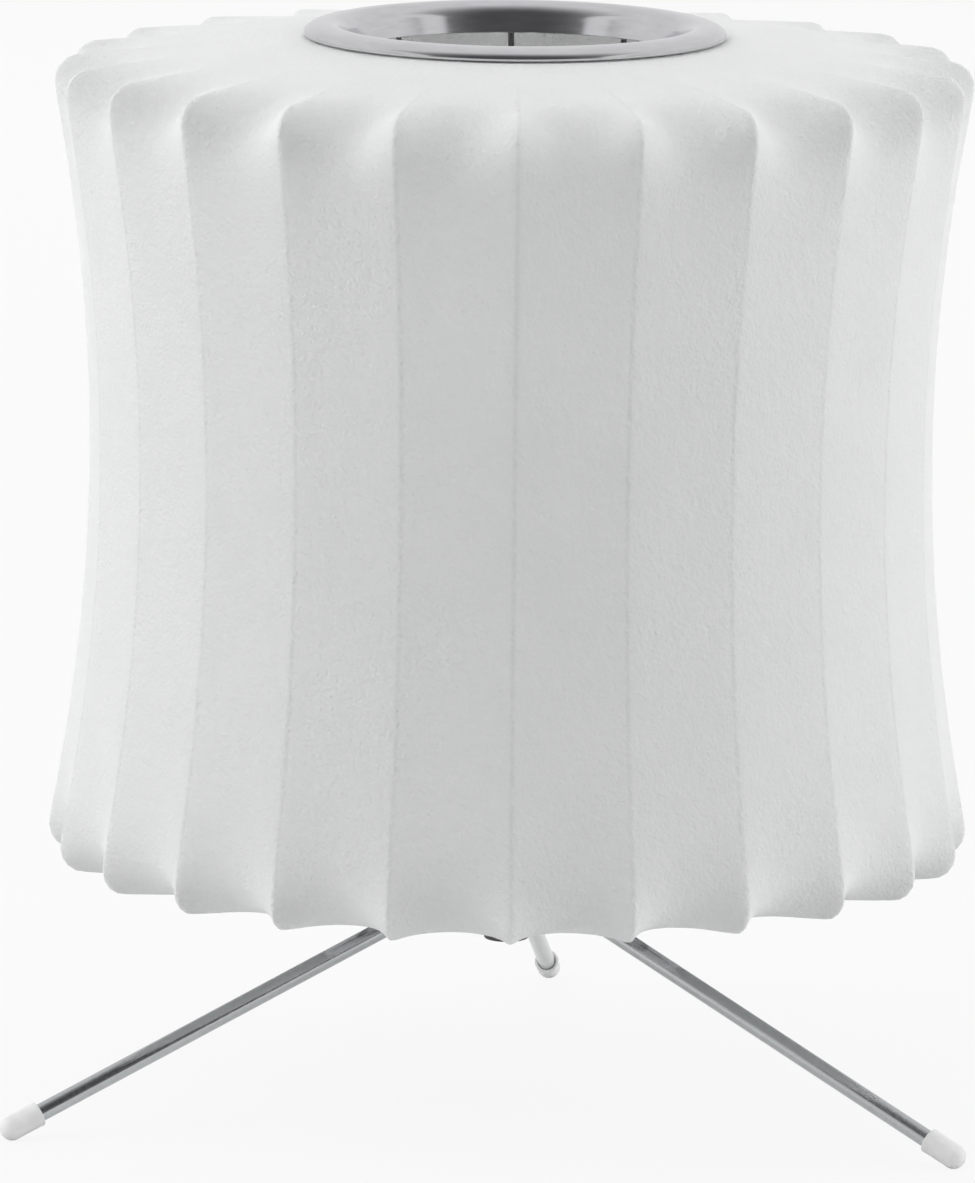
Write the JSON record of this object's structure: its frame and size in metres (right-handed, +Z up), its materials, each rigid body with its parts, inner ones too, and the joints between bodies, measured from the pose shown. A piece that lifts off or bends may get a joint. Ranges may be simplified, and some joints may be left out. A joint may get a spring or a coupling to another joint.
{
  "type": "tripod table lamp",
  "caption": "Small table lamp: a drum shade of stretched film over wire ribs, scalloped at both rims, standing on a low tripod of bright rods with white foot caps.",
  "frame": {"origin": "on the lamp's axis, on the surface that the three foot caps rest on", "axes": "+Z up along the lamp's axis, +X to the right and -Y towards the viewer in the pictured view"},
  "size_m": [0.3424, 0.3595, 0.3861],
  "materials": {
    "film": "sprayed film, fine stipple, satin",
    "bright_nickel": "polished plating",
    "rib_wire": "light grey lacquer",
    "white_vinyl": "soft satin vinyl",
    "hub_steel": "turned, plated",
    "carrier_steel": "light grey lacquer",
    "fitting_brass": "plain brass",
    "bushing_plastic": "moulded, black",
    "holder_porcelain": "white glaze",
    "bulb_metal": "plain screw cap",
    "bulb_glass": "inside frosted white"
  },
  "bodies": {
    "stand": {"hub": "hub_steel", "leg_1": "bright_nickel", "leg_2": "bright_nickel", "leg_3": "bright_nickel", "foot_caps": "white_vinyl", "carrier": "carrier_steel", "nipple": "fitting_brass", "lock_nut": "fitting_brass", "lead_bushing": "bushing_plastic", "lampholder_body": "holder_porcelain", "screw_shell": "fitting_brass", "centre_contact": "fitting_brass"},
    "shade": {"shade_skin": "film", "top_ring": "bright_nickel", "bottom_ring": "bright_nickel", "rib_01": "rib_wire", "rib_02": "rib_wire", "rib_03": "rib_wire", "rib_04": "rib_wire", "rib_05": "rib_wire", "rib_06": "rib_wire", "rib_07": "rib_wire", "rib_08": "rib_wire", "rib_09": "rib_wire", "rib_10": "rib_wire", "rib_11": "rib_wire", "rib_12": "rib_wire", "rib_13": "rib_wire", "rib_14": "rib_wire", "rib_15": "rib_wire", "rib_16": "rib_wire", "rib_17": "rib_wire", "rib_18": "rib_wire", "rib_19": "rib_wire", "rib_20": "rib_wire", "rib_21": "rib_wire", "rib_22": "rib_wire", "rib_23": "rib_wire", "rib_24": "rib_wire"},
    "bulb": {"bulb_cap": "bulb_metal", "bulb_glass": "bulb_glass"}
  },
  "joints": [
    {"name": "shade_lift", "type": "slide", "parent": "stand", "child": "shade", "axis": [0, 0, 1], "range_m": [0, 0.2]},
    {"name": "bulb_turn", "type": "hinge", "parent": "stand", "child": "bulb", "pos_m": [0, 0, 0.15], "axis": [0, 0, 1], "range_deg": [0, 1080]}
  ]
}
